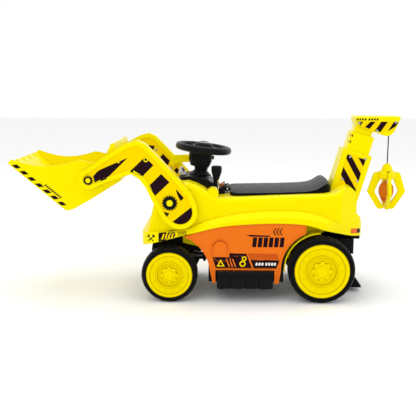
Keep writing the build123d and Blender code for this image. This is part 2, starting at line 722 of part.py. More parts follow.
def wheel_disc(wheel, side, hub_radius, width):
    """Wheel disc: barrel inside the tyre, stepped outer face with bosses, centre tube on the axle."""
    half = width / 2
    r = hub_radius
    across = wheel_plane(wheel, side)
    section = wheel_section(across)
    with BuildPart() as disc:
        with BuildSketch(section):
            with BuildLine():
                Polyline(
                    (AXLE_R + GAP, -half + 1), (10, -half + 1), (10, half - 14), (0.3 * r, half - 11),
                    (0.52 * r, half - 10), (0.56 * r, half - 7), (0.8 * r, half - 6), (0.84 * r, half - 3),
                    (r - 3, half - 3), (r - 3, -half + 2), (r, -half + 2), (r, half - 1),
                    (r - 2, half + 1.5), (0.86 * r, half + 1.5), (0.82 * r, half - 1.5),
                    (0.6 * r, half - 2.5), (0.57 * r, half + 0.5), (0.53 * r, half + 0.5),
                    (0.5 * r, half - 5), (0.33 * r, half - 6), (0.3 * r, half - 1),
                    (0.12 * r, half + 0.5), (0.12 * r, half - 6), (AXLE_R + GAP, half - 6), close=True,
                )
            make_face()
        revolve(axis=Axis(across.origin, across.z_dir))
        # bosses on the outer ring and round the centre
        with BuildSketch(across.offset(half - 4)):
            with PolarLocations(0.71 * r, 14):
                Circle(0.045 * r)
        extrude(amount=3.2)
        with BuildSketch(across.offset(half - 8)):
            with PolarLocations(0.3 * r, 8):
                Circle(0.075 * r)
        extrude(amount=8)
        # closed cap over the axle end
        with BuildSketch(across.offset(half - 0.5)):
            Circle(0.2 * r)
        extrude(amount=2)
    return disc.part


WHEELS = (
    ("front_left", FRONT_WHEEL, -1, FRONT_R, FRONT_HUB_R, FRONT_WIDTH),
    ("front_right", FRONT_WHEEL, 1, FRONT_R, FRONT_HUB_R, FRONT_WIDTH),
    ("rear_left", REAR_WHEEL, -1, REAR_R, REAR_HUB_R, REAR_WIDTH),
    ("rear_right", REAR_WHEEL, 1, REAR_R, REAR_HUB_R, REAR_WIDTH),
)
for place, centre, side, radius, hub_radius, width in WHEELS:
    save(tyre(centre, side, radius, hub_radius, width), f"tyre_{place}")
    save(wheel_disc(centre, side, hub_radius, width), f"wheel_disc_{place}")

# ---------------------------------------------------------------- loader arms
ARM_OUTLINE = [
    (-318, 346), (-282, 370), (-250, 391), (-214, 411), (-186, 419), (-165, 409), (-134, 377), (-74, 312),
    (-50, 281), (-37, 250), (-80, 240), (-117, 208), (-131, 231), (-149, 262), (-166, 299), (-182, 321),
    (-203, 334), (-231, 325), (-269, 312), (-303, 296),
]
ARM_RIM = 12.0
ARM_SCREWS = [(-290, 338), (-232, 366), (-165, 371), (-122, 318)]


def arm_face(inset):
    """Side view of a loader arm, drawn in by inset."""
    with BuildSketch() as face:
        with BuildLine():
            Polyline(*ARM_OUTLINE, close=True)
        make_face()
        with Locations((-80, 237)):
            Circle(44)
        with Locations((-311, 321)):
            Circle(26)
        if inset:
            offset(amount=-inset, mode=Mode.REPLACE)
    return face.sketch


def arm_half(inner_y, outer_y, cavity_y, recess_y, post_y):
    """One moulded half of the left arm: a shell open towards the other half."""
    with BuildPart() as half:
        with BuildSketch(on_side(inner_y)):
            add(arm_face(0))
        extrude(amount=outer_y - inner_y)
        with BuildSketch(on_side(cavity_y)):
            add(arm_face(WALL))
        extrude(amount=outer_y - inner_y - 2 * WALL, mode=Mode.SUBTRACT)
        with BuildSketch(on_side(recess_y)):
            add(arm_face(ARM_RIM))
        extrude(amount=2, mode=Mode.SUBTRACT)
        # screw posts, pivot boss and bucket pin boss
        with BuildSketch(on_side(post_y)):
            with Locations(*ARM_SCREWS):
                Circle(5)
            with Locations(LIFT_PIVOT):
                Circle(13)
            with Locations(BUCKET_PIVOT):
                Circle(12)
        extrude(amount=outer_y - inner_y - WALL)
        with BuildSketch(on_side(inner_y - 1)):
            with Locations(*ARM_SCREWS):
                Circle(1.6)
            with Locations(LIFT_PIVOT):
                Circle(7)
            with Locations(BUCKET_PIVOT):
                Circle(6)
        extrude(amount=outer_y - inner_y + 2, mode=Mode.SUBTRACT)
    return half.part


arm_left_outer = arm_half(ARM_MID, ARM_OUT, ARM_MID, ARM_OUT - 2, ARM_MID)
arm_left_inner = arm_half(ARM_IN, ARM_MID, ARM_IN + 2 * WALL, ARM_IN, ARM_IN + WALL)
save(arm_left_outer, "arm_left_outer")
save(arm_left_inner, "arm_left_inner")
save(mirrored(arm_left_outer), "arm_right_outer")
save(mirrored(arm_left_inner), "arm_right_inner")

with BuildPart() as arm_screws:
    with BuildSketch(on_side(ARM_IN + 0.5)):
        with Locations(*ARM_SCREWS):
            Circle(1.6)
    extrude(amount=18)
    with BuildSketch(on_side(ARM_IN + 0.2)):
        with Locations(*ARM_SCREWS):
            Circle(3.4)
    extrude(amount=1.8)
    mirror(about=Plane.XZ)
save(arm_screws.part, "arm_screws")

with BuildPart() as lift_shaft:
    with Locations(Location((LIFT_PIVOT[0], 0, LIFT_PIVOT[1]), (90, 0, 0))):
        Cylinder(7, 2 * (ARM_OUT - 2))
save(lift_shaft.part, "lift_shaft")

with BuildPart() as pivot_caps:
    # toothed cap over each end of the lift shaft
    with BuildSketch(on_side(ARM_OUT - 2)):
        with Locations(LIFT_PIVOT):
            Circle(16.5)
            with PolarLocations(16.5, 16):
                Rectangle(5, 3.4)
    extrude(amount=3.6)
    with BuildSketch(on_side(ARM_OUT)):
        with Locations(LIFT_PIVOT):
            Circle(10.5)
    extrude(amount=3)
    mirror(about=Plane.XZ)
save(pivot_caps.part, "pivot_caps")

with BuildPart() as lift_lever:
    # hand lever on the inner face of the right arm
    with BuildSketch(on_side(-ARM_IN)):
        with BuildLine():
            Polyline(
                (-128, 336), (-112, 357), (-76, 358), (-34, 354), (-26, 347), (-30, 338), (-76, 337),
                (-104, 334), (-118, 326), close=True,
            )
        make_face()
    extrude(amount=10)
save(lift_lever.part, "lift_lever")

# ---------------------------------------------------------------- bucket
BUCKET_WALL = 4.0
BUCKET_SIDE = [
    (-518, 360), (-509, 369), (-482, 360.5), (-455, 354), (-424, 351), (-395, 353), (-368, 358.5),
    (-338, 367), (-300, 359), (-272, 376), (-257, 409), (-249, 409), (-239, 378), (-233, 314),
    (-313, 264), (-358, 239), (-375, 235), (-386, 243),
]
BUCKET_INSIDE = [
    (-530, 378), (-512, 362), (-384, 248.5), (-374, 241), (-359, 244), (-315, 269), (-238, 317),
    (-243.5, 378), (-254, 412), (-262, 440), (-530, 440),
]


def bucket_plan(inset):
    """Plan of the bucket, wider towards its lip."""
    with BuildSketch() as plan:
        with BuildLine():
            Polyline(
                (-530, -132 + inset), (-348, -113.5 + inset), (-220, -113.5 + inset), (-220, 113.5 - inset),
                (-348, 113.5 - inset), (-530, 132 - inset), close=True,
            )
        make_face()
    return plan.sketch


with BuildPart() as bucket_hollow:
    with BuildSketch(Plane.XZ):
        with BuildLine():
            Polyline(*BUCKET_INSIDE, close=True)
        make_face()
    extrude(amount=140, both=True)
    with BuildSketch(Plane.XY.offset(200)):
        add(bucket_plan(BUCKET_WALL))
    extrude(amount=260, mode=Mode.INTERSECT)

with BuildPart() as bucket:
    with BuildSketch(Plane.XZ):
        with BuildLine():
            Polyline(*BUCKET_SIDE, close=True)
        make_face()
    extrude(amount=140, both=True)
    with BuildSketch(Plane.XY.offset(200)):
        add(bucket_plan(0))
    extrude(amount=260, mode=Mode.INTERSECT)
    add(bucket_hollow.part, mode=Mode.SUBTRACT)
    # gaps between the five teeth of the lip
    with BuildSketch(Plane.XY.offset(340)):
        with Locations((-520, 0)):
            with GridLocations(1, 52, 1, 4):
                RectangleRounded(36, 16, 5)
    extrude(amount=60, mode=Mode.SUBTRACT)
    # bosses and bores of the pivot pins
    with BuildSketch(on_side(101)):
        with Locations(BUCKET_PIVOT):
            Circle(14)
    extrude(amount=12)
    with BuildSketch(on_side(-113)):
        with Locations(BUCKET_PIVOT):
            Circle(14)
    extrude(amount=12)
    with Locations(Location((BUCKET_PIVOT[0], 0, BUCKET_PIVOT[1]), (90, 0, 0))):
        Cylinder(6 + GAP, 300, mode=Mode.SUBTRACT)
save(bucket.part, "bucket")

with BuildPart() as bucket_pins:
    with BuildSketch(on_side(100)):
        with Locations(BUCKET_PIVOT):
            Circle(6)
    extrude(amount=ARM_OUT - 100)
    with BuildSketch(on_side(ARM_OUT)):
        with Locations(BUCKET_PIVOT):
            Circle(10)
    extrude(amount=2.5)
    with BuildSketch(on_side(97)):
        with Locations(BUCKET_PIVOT):
            Circle(9)
    extrude(amount=3.5)
    mirror(about=Plane.XZ)
save(bucket_pins.part, "bucket_pins")

# ---------------------------------------------------------------- crane mast
MAST_WALL = 3.0
STAGE_FOOT = 46.0
MAST_SCREWS = [(24, 154), (64, 160), (22, 92), (62, 98)]


def mast_box(side, low, high, left, right, depth):
    """Box in the mast's own frame, from one side plane inwards."""
    with BuildPart() as box:
        with BuildSketch(mast_plane(side)):
            with Locations(((left + right) / 2, (low + high) / 2)):
                Rectangle(right - left, high - low)
        extrude(amount=depth)
    return box.part


stage_left, stage_right = STAGE_INSET, MAST_WIDTH - STAGE_INSET
with BuildPart() as mast_left:
    add(mast_box(0, 0, MAST_LENGTH, 0, MAST_WIDTH, MAST_HALF))
    fillet(mast_left.edges().filter_by(lambda e: abs(e.center().Y + MAST_HALF) < 0.01), radius=3)
    add(mast_box(-1, 4, MAST_LENGTH + 1, stage_left - GAP, stage_right + GAP, STAGE_HALF + GAP + 1),
        mode=Mode.SUBTRACT)
    with BuildSketch(mast_plane(-1)):
        with Locations(*MAST_SCREWS[2:]):
            Circle(1.6)
    extrude(amount=60, mode=Mode.SUBTRACT)
save(mast_left.part, "mast_left")
save(mirrored(mast_left.part), "mast_right")

with BuildPart() as mast_screws:
    for x, y in MAST_SCREWS:
        with BuildSketch(mast_plane(MAST_HALF)):
            with Locations((x, y)):
                Circle(3)
        extrude(amount=1.2)
    mirror(about=Plane.XZ)
save(mast_screws.part, "mast_screws")

NECK_LEFT, NECK_RIGHT, NECK_HALF, NECK_TOP = 15.0, 62.0, 23.0, 243.0
LATCH_HOLES = (191.5, 208.5)

with BuildPart() as mast_inner:
    add(mast_box(-STAGE_HALF, STAGE_FOOT, STAGE_TOP, stage_left, stage_right, 2 * STAGE_HALF))
    fillet(mast_inner.edges().filter_by(lambda e: e.length > 100), radius=2.5)
    add(mast_box(-STAGE_HALF + MAST_WALL, STAGE_FOOT - 1, STAGE_TOP - MAST_WALL, stage_left + MAST_WALL,
                 stage_right - MAST_WALL, 2 * (STAGE_HALF - MAST_WALL)), mode=Mode.SUBTRACT)
    # two height holes in the front wall
    across = mast_plane(0)
    front_foot = across.from_local_coords((stage_left - 2, 0, 0))
    front_wall = Plane(origin=front_foot, x_dir=(0, 1, 0), z_dir=across.x_dir)
    with BuildSketch(front_wall):
        for height in LATCH_HOLES:
            with Locations((-19, height)):
                RectangleRounded(9, 7, 1.5)
    extrude(amount=MAST_WALL + 4, mode=Mode.SUBTRACT)
save(mast_inner.part, "mast_inner")

# ---------------------------------------------------------------- jib
JIB_OUTLINE = [
    (373, JIB_TOP), (494, JIB_TOP), (488.5, 461), (478, 436), (469, 425.5), (457.5, CORD_TOP), (447, 424.5),
    (437, 430.5), (424, 432.5), (378, 452), (375, 458),
]
JIB_SCREWS = [(384, 457), (431, 437), (479, 459)]


def jib_face(inset):
    """Side view of the jib's head, drawn in by inset."""
    with BuildSketch() as face:
        with BuildLine():
            Polyline(*JIB_OUTLINE, close=True)
        outline = make_face()
        fillet(outline.vertices().sort_by(Axis.Y)[-2:], radius=4)
        if inset:
            offset(amount=-inset, mode=Mode.REPLACE)
    return face.sketch


def neck_box(from_side, to_side, inset):
    """The neck between the inner mast and the jib."""
    reach = to_side - from_side
    return mast_box(from_side, STAGE_TOP, NECK_TOP, NECK_LEFT + inset, NECK_RIGHT - inset, reach)


with BuildPart() as jib_left:
    with BuildSketch(on_side(0)):
        add(jib_face(0))
    extrude(amount=JIB_HALF)
    add(neck_box(0, NECK_HALF, 0))
    fillet(jib_left.faces().sort_by(Axis.Y)[0].edges(), radius=2.5)
    with BuildSketch(on_side(-1)):
        add(jib_face(WALL))
    extrude(amount=JIB_HALF - WALL + 1, mode=Mode.SUBTRACT)
    # post that the cord is tied round, and its way out
    with BuildSketch(on_side(0)):
        with Locations((CLAW_X, 441)):
            Circle(4)
    extrude(amount=JIB_HALF - 2)
    with BuildSketch(Plane.XY.offset(CORD_TOP - 20)):
        with Locations((CLAW_X, 0)):
            Circle(2.6)
    extrude(amount=28, mode=Mode.SUBTRACT)
    with BuildSketch(on_side(0)):
        with Locations(*JIB_SCREWS):
            Circle(5)
    extrude(amount=JIB_HALF - 2)
    with BuildSketch(on_side(-1)):
        with Locations(*JIB_SCREWS):
            Circle(1.6)
    extrude(amount=60, mode=Mode.SUBTRACT)
save(jib_left.part, "jib_left")
save(mirrored(jib_left.part), "jib_right")

with BuildPart() as jib_screws:
    with BuildSketch(on_side(JIB_HALF)):
        with Locations(*JIB_SCREWS):
            Circle(3)
    extrude(amount=1.2)
    mirror(about=Plane.XZ)
save(jib_screws.part, "jib_screws")

# ---------------------------------------------------------------- cord and claw
CORD_LENGTH = CORD_TOP - CORD_BOTTOM
PETAL_PIVOT = (16.0, 314.0)      # radius and z of each petal's pin
PETAL_THICK, PETALS = 8.0, 4
HUB_LOW = 306.0

with BuildPart() as cord:
    with Locations((CLAW_X, 0, (CORD_TOP + CORD_BOTTOM) / 2)):
        Cylinder(CORD_R, CORD_LENGTH)
save(cord.part, "cord")
print("cord length", CORD_LENGTH, "volume / section", cord.part.volume / (3.14159265 * CORD_R**2))


def claw_plane(turn):
    """Upright plane through the claw's axis; x is the radius, y the height."""
    way = radians(turn)
    return Plane(origin=(CLAW_X, 0, 0), x_dir=(cos(way), sin(way), 0), z_dir=(sin(way), -cos(way), 0))


with BuildPart() as claw_hub:
    with BuildSketch(claw_plane(0)):
        with BuildLine():
            Polyline(
                (0, CORD_BOTTOM - 0.9), (4, CORD_BOTTOM - 0.9), (8, 345), (13.5, 336), (15, 329),
                (20, 326), (24, 322), (24, 309), (21, HUB_LOW), (0, HUB_LOW), close=True,
            )
        make_face()
    revolve(axis=Axis((CLAW_X, 0, 0), (0, 0, 1)))
    for turn in range(0, 360, 360 // PETALS):
        slot = claw_plane(turn).offset(-PETAL_THICK / 2 - GAP)
        with BuildSketch(slot):
            with Locations((20, 312)):
                Rectangle(24, 30)
        extrude(amount=PETAL_THICK + 2 * GAP, mode=Mode.SUBTRACT)
        with BuildSketch(claw_plane(turn).offset(-7)):
            with Locations(PETAL_PIVOT):
                Circle(2)
        extrude(amount=14, mode=Mode.SUBTRACT)
    with Locations((CLAW_X, 0, 318)):
        Cylinder(3.5 + GAP, 30, mode=Mode.SUBTRACT)
save(claw_hub.part, "claw_hub")

with BuildPart() as petal_pins:
    for turn in range(0, 360, 360 // PETALS):
        with BuildSketch(claw_plane(turn).offset(-6.5)):
            with Locations(PETAL_PIVOT):
                Circle(2)
        extrude(amount=13)
save(petal_pins.part, "petal_pins")

PETAL = [
    (12, 322), (20, 325), (33, 323), (36, 318), (50.5, 274), (50.5, 270), (23, 226), (18, 223.5),
    (9, 223.5), (6, 229), (30, 268), (31, 274), (19, 303), (12, 306),
]
for number in range(PETALS):
    turn = number * 360 // PETALS + 180
    with BuildPart() as claw_petal:
        with BuildSketch(claw_plane(turn).offset(-PETAL_THICK / 2)):
            with BuildLine():
                Polyline(*PETAL, close=True)
            outline = make_face()
            fillet(outline.vertices(), radius=1.6)
            with Locations(PETAL_PIVOT):
                Circle(2 + GAP, mode=Mode.SUBTRACT)
        extrude(amount=PETAL_THICK)
    save(claw_petal.part, f"claw_petal_{number + 1}")

with BuildPart() as claw_core:
    with BuildSketch(claw_plane(0)):
        with BuildLine():
            Polyline(
                (0, 243), (9.5, 243), (18.5, 262), (20.5, 274), (18, 287), (11, 296), (3.5, 297),
                (3.5, 322), (0, 322), close=True,
            )
        make_face()
    revolve(axis=Axis((CLAW_X, 0, 0), (0, 0, 1)))
save(claw_core.part, "claw_core")

with BuildPart() as gear_lever:
    lever_x, lever_y, lever_z = LEVER_PIVOT
    with Locations(Location((lever_x, lever_y, lever_z), (90, 0, 0))):
        Cylinder(4.5, 9)
    with BuildSketch(Plane.XY.offset(lever_z)):
        with Locations((lever_x, lever_y)):
            Circle(5.5)
    extrude(amount=40)
    with BuildSketch(Plane.XY.offset(306)):
        with Locations((lever_x + 2, lever_y)):
            Circle(7)
    with BuildSketch(Plane.XY.offset(329)):
        with Locations((lever_x + 3, lever_y)):
            Circle(14)
    loft()
    with BuildSketch(Plane.XY.offset(329)):
        with Locations((lever_x + 3, lever_y)):
            Circle(14)
    extrude(amount=15)
    fillet(gear_lever.faces().sort_by(Axis.Z)[-1].edges(), radius=5)
save(gear_lever.part, "gear_lever")
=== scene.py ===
import bpy
import bmesh
import json
import math
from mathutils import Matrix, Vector
from mathutils.bvhtree import BVHTree


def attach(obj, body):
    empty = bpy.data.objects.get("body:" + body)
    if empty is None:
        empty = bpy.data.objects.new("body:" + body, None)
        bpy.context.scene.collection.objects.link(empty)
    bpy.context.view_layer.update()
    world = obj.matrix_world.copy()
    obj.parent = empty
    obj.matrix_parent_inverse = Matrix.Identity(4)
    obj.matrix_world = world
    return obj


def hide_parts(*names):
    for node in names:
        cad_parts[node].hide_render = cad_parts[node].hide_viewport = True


# Looks of the ride-on digger.  Lengths in the helpers' arguments are millimetres in the CAD frame, and side
# is -1 for the vehicle's left and 1 for its right.
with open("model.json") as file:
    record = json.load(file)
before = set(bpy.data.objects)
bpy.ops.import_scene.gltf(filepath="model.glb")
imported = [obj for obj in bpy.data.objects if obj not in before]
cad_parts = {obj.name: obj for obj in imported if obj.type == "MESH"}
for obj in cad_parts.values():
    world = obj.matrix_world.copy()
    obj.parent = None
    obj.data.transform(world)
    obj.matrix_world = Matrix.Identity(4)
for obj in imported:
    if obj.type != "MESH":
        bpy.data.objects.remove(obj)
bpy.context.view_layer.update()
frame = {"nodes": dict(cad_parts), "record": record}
NODES = frame["nodes"]
MM = 0.001
HANDS = ((-1, "left"), (1, "right"))


# ---------------------------------------------------------------- materials
def srgb(r, g, b):
    """8-bit display colour as a linear RGBA tuple."""
    def linear(c):
        c /= 255
        return c / 12.92 if c <= 0.04045 else ((c + 0.055) / 1.055) ** 2.4
    return (linear(r), linear(g), linear(b), 1.0)


def moulded(name, colour, rough=0.35, grain=0.02, grain_scale=900.0, coat=0.0, edge=0.0006, shine=0.3):
    """Moulded plastic: slow colour drift, uneven gloss, fine grain and edges softened over edge metres."""
    tint = 0.03
    material = bpy.data.materials.new(name)
    material.use_nodes = True
    nodes, links = material.node_tree.nodes, material.node_tree.links
    shader = nodes["Principled BSDF"]
    shader.inputs["Coat Weight"].default_value = coat
    shader.inputs["Coat Roughness"].default_value = 0.12
    shader.inputs["Specular IOR Level"].default_value = shine
    shader.inputs["Specular Tint"].default_value = colour
    place = nodes.new("ShaderNodeTexCoord")
    drift = nodes.new("ShaderNodeTexNoise")
    drift.inputs["Scale"].default_value = 9.0
    drift.inputs["Detail"].default_value = 4.0
    links.new(place.outputs["Object"], drift.inputs["Vector"])
    mix = nodes.new("ShaderNodeMix")
    mix.data_type = "RGBA"
    mix.inputs["A"].default_value = tuple(c * (1 - tint) for c in colour[:3]) + (1.0,)
    mix.inputs["B"].default_value = tuple(min(1.0, c * (1 + tint)) for c in colour[:3]) + (1.0,)
    links.new(drift.outputs["Fac"], mix.inputs["Factor"])
    links.new(mix.outputs["Result"], shader.inputs["Base Color"])
    scuff = nodes.new("ShaderNodeTexNoise")
    scuff.inputs["Scale"].default_value = 60.0
    scuff.inputs["Detail"].default_value = 6.0
    links.new(place.outputs["Object"], scuff.inputs["Vector"])
    gloss = nodes.new("ShaderNodeMapRange")
    gloss.inputs["From Min"].default_value = 0.3
    gloss.inputs["From Max"].default_value = 0.7
    gloss.inputs["To Min"].default_value = max(0.05, rough - 0.06)
    gloss.inputs["To Max"].default_value = rough + 0.08
    links.new(scuff.outputs["Fac"], gloss.inputs["Value"])
    links.new(gloss.outputs["Result"], shader.inputs["Roughness"])
    grit = nodes.new("ShaderNodeTexNoise")
    grit.inputs["Scale"].default_value = grain_scale
    grit.inputs["Detail"].default_value = 2.0
    links.new(place.outputs["Object"], grit.inputs["Vector"])
    bump = nodes.new("ShaderNodeBump")
    bump.inputs["Strength"].default_value = grain
    bump.inputs["Distance"].default_value = 0.001
    links.new(grit.outputs["Fac"], bump.inputs["Height"])
    if edge:
        bevel = nodes.new("ShaderNodeBevel")
        bevel.samples = 4
        bevel.inputs["Radius"].default_value = edge
        links.new(bevel.outputs["Normal"], bump.inputs["Normal"])
    links.new(bump.outputs["Normal"], shader.inputs["Normal"])
    return material


def metal(name, colour, rough):
    """Plated metal with fine grain."""
    material = moulded(name, colour, rough, grain=0.08, grain_scale=500.0)
    material.node_tree.nodes["Principled BSDF"].inputs["Metallic"].default_value = 1.0
    return material


def shade_by_normal(material, facing, start, end, shade):
    """Painted light and shade: blend the base colour into shade as facing, a socket made from the normal, goes
    from start to end.
    """
    nodes, links = material.node_tree.nodes, material.node_tree.links
    base = nodes["Principled BSDF"].inputs["Base Color"]
    ramp = nodes.new("ShaderNodeMapRange")
    ramp.inputs["From Min"].default_value = start
    ramp.inputs["From Max"].default_value = end
    links.new(facing, ramp.inputs["Value"])
    mix = nodes.new("ShaderNodeMix")
    mix.data_type = "RGBA"
    mix.inputs["B"].default_value = shade
    links.new(base.links[0].from_socket, mix.inputs["A"])
    links.new(ramp.outputs["Result"], mix.inputs["Factor"])
    links.new(mix.outputs["Result"], base)
    return material


def normal_part(material, axis):
    """Socket with one component of the surface normal."""
    nodes, links = material.node_tree.nodes, material.node_tree.links
    geometry = nodes.new("ShaderNodeNewGeometry")
    split = nodes.new("ShaderNodeSeparateXYZ")
    links.new(geometry.outputs["Normal"], split.inputs["Vector"])
    return split.outputs[axis]


def painted_top_light(name, top, side, rough):
    """Grained seat plastic, black on its sides, with painted light making it lighter on top."""
    material = moulded(name, side, rough, grain=0.35, grain_scale=420.0)
    return shade_by_normal(material, normal_part(material, "Z"), 0.55, 0.85, top)


def relief(name, colour, shade):
    """Wheel plastic with painted shade: slopes and edges of the moulded relief are darker than its faces."""
    material = moulded(name, colour, rough=0.32, edge=0.0008, shine=0.5)
    sideways = material.node_tree.nodes.new("ShaderNodeMath")
    sideways.operation = "ABSOLUTE"
    material.node_tree.links.new(normal_part(material, "Y"), sideways.inputs[0])
    return shade_by_normal(material, sideways.outputs["Value"], 0.98, 0.7, shade)


yellow = moulded("moulded_yellow", srgb(240, 224, 0), rough=0.30, coat=0.03, edge=0.0018)
# wheel hubs: painted shade darkens the slopes of their moulded relief
hub_yellow = relief("hub_yellow", srgb(234, 214, 0), srgb(206, 180, 0))
orange = moulded("moulded_orange", srgb(228, 112, 22), rough=0.22, coat=0.12, edge=0.0012)
# darker orange: painted shade in the panel band's strip and the arch recess, and the dark band on the claw's
# core
burnt = moulded("burnt_orange", srgb(196, 84, 26), rough=0.4, edge=0)
core_orange = moulded("core_orange", srgb(204, 112, 30), rough=0.3, edge=0.0008)
black = moulded("black_plastic", srgb(24, 24, 26), rough=0.38, grain=0.10, grain_scale=600.0, edge=0.001,
                shine=0.6)
tyre_black = moulded("tyre_black", srgb(20, 20, 21), rough=0.5, grain=0.18, grain_scale=700.0, edge=0.0008,
                     shine=0.6)
# seat: black plastic with painted light on its upward faces
seat_black = painted_top_light("seat_plastic", srgb(56, 56, 60), srgb(18, 18, 20), 0.46)
silver = moulded("silver_plastic", srgb(196, 197, 206), rough=0.28, coat=0.3, edge=0.0006)
navy = moulded("navy_plastic", srgb(14, 44, 86), rough=0.2, coat=0.4, edge=0)
gold_film = moulded("gold_film", srgb(240, 206, 0), rough=0.34, grain=0.03, edge=0)
black_film = moulded("black_film", srgb(34, 18, 24), rough=0.36, grain=0.03, edge=0)
white_film = moulded("white_film", srgb(235, 232, 226), rough=0.34, grain=0.03, edge=0)
steel = metal("zinc_plated", srgb(176, 178, 184), 0.32)
dark_metal = moulded("powder_coated", srgb(30, 30, 32), rough=0.5, grain=0.12, edge=0.0006)
lens = moulded("tail_lens", srgb(226, 100, 24), rough=0.12, coat=0.5, edge=0.0004)
twine = moulded("twine", srgb(30, 28, 28), rough=0.8, grain=0.6, grain_scale=1600.0, edge=0)

LOOKS = {
    "body_yellow": yellow, "hub_yellow": hub_yellow, "orange_plastic": orange, "claw_orange": core_orange,
    "black_plastic": black, "tyre_black": tyre_black, "seat_black": seat_black, "silver_plastic": silver,
    "cord_black": twine, "steel": steel, "dark_metal": dark_metal,
}
for entry in frame["record"]["subparts"]:
    node = NODES[entry["node"]]
    node.data.materials.clear()
    node.data.materials.append(LOOKS[entry["material_slot"]])


# ---------------------------------------------------------------- mesh helpers
def body_of(node_name):
    """Name of the body that a CAD node belongs to."""
    for body, members in frame["record"]["behaviour"]["bodies"].items():
        if node_name in members:
            return body
    raise ValueError(node_name)


def finish_piece(name, mesh_builder, material, body):
    """Object from a bmesh, with its material and body."""
    mesh = bpy.data.meshes.new(name)
    mesh_builder.normal_update()
    bmesh.ops.recalc_face_normals(mesh_builder, faces=mesh_builder.faces)
    mesh_builder.to_mesh(mesh)
    mesh_builder.free()
    piece = bpy.data.objects.new(name, mesh)
    bpy.context.collection.objects.link(piece)
    mesh.materials.append(material)
    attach(piece, body)
    return piece


TREES = {}


def surface(node_name):
    """Ray-casting tree of a CAD node."""
    if node_name not in TREES:
        built = bmesh.new()
        built.from_mesh(NODES[node_name].data)
        TREES[node_name] = BVHTree.FromBMesh(built)
        built.free()
    return TREES[node_name]


def film(name, node_name, side, outlines, material, lift=0.3, fine=7.0, skirt=0.5):
    """Thin film laid on a node's outer side face; outlines are loops of (x, z) points."""
    tree = surface(node_name)
    built = bmesh.new()
    for outline in outlines:
        vertices = [built.verts.new((x * MM, 0, z * MM)) for x, z in outline]
        built.faces.new(vertices)
    bmesh.ops.triangulate(built, faces=built.faces)
    for _ in range(4):
        long_edges = [e for e in built.edges if e.calc_length() > fine * MM]
        if not long_edges:
            break
        bmesh.ops.subdivide_edges(built, edges=long_edges, cuts=1)
        bmesh.ops.triangulate(built, faces=built.faces)
    lost = []
    for vertex in built.verts:
        hit = tree.ray_cast(Vector((vertex.co.x, side * 0.3, vertex.co.z)), Vector((0, -side, 0)))[0]
        if hit is None:
            lost.append(vertex)
        else:
            vertex.co.y = hit.y + side * lift * MM
    bmesh.ops.delete(built, geom=lost, context="VERTS")
    skin = bmesh.ops.extrude_face_region(built, geom=list(built.faces))
    inner = [g for g in skin["geom"] if isinstance(g, bmesh.types.BMVert)]
    bmesh.ops.translate(built, verts=inner, vec=(0, -side * skirt * MM, 0))
    return finish_piece(name, built, material, body_of(node_name))


def skin_patch(name, node_name, plane_y, material, lift=0.15):
    """Film over every flat face of a node that lies at this distance from the middle plane."""
    source = NODES[node_name].data
    built = bmesh.new()
    kept = {}
    for face in source.polygons:
        if abs(face.normal.y) < 0.9 or abs(face.center.y - plane_y * MM) > 0.0002:
            continue
        corners = []
        for index in face.vertices:
            if index not in kept:
                kept[index] = built.verts.new(source.vertices[index].co)
            corners.append(kept[index])
        if len(set(corners)) == len(corners):
            built.faces.new(corners)
    bmesh.ops.remove_doubles(built, verts=built.verts, dist=1e-6)
    outward = sum(f.normal.y for f in source.polygons if abs(f.center.y - plane_y * MM) < 0.0002)
    push = lift * MM * (1 if outward > 0 else -1)
    skin = bmesh.ops.extrude_face_region(built, geom=list(built.faces))
    outer = [g for g in skin["geom"] if isinstance(g, bmesh.types.BMVert)]
    bmesh.ops.translate(built, verts=outer, vec=(0, push, 0))
    return finish_piece(name, built, material, body_of(node_name))


def lathe(name, centre, axis, profile, material, body, segments=48, replaces=None):
    """Turned piece: profile of (radius, height) pairs in millimetres along an axis."""
    axis = Vector(axis).normalized()
    across = axis.orthogonal().normalized()
    third = axis.cross(across)
    origin = Vector(centre) * MM
    built = bmesh.new()
    rings = []
    for radius, height in profile:
        if radius < 1e-6:
            rings.append([built.verts.new(origin + axis * height * MM)])
            continue
        ring = []
        for k in range(segments):
            turn = 2 * math.pi * k / segments
            offset = (across * math.cos(turn) + third * math.sin(turn)) * radius * MM
            ring.append(built.verts.new(origin + offset + axis * height * MM))
        rings.append(ring)
    for low, high in zip(rings, rings[1:]):
        for k in range(segments):
            corners = [low[k % len(low)], low[(k + 1) % len(low)],
                       high[(k + 1) % len(high)], high[k % len(high)]]
            unique = list(dict.fromkeys(corners))
            if len(unique) > 2:
                built.faces.new(unique)
    piece = finish_piece(name, built, material, body)
    for face in piece.data.polygons:
        face.use_smooth = True
    if replaces:
        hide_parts(replaces)
    return piece


def ring_quads(x, z, inner, outer, count=28):
    """A ring as a row of four-cornered outlines."""
    quads = []
    for k in range(count):
        a, b = 2 * math.pi * k / count, 2 * math.pi * (k + 1) / count
        corners = ((inner, a), (outer, a), (outer, b), (inner, b))
        quads.append([(x + r * math.cos(t), z + r * math.sin(t)) for r, t in corners])
    return quads


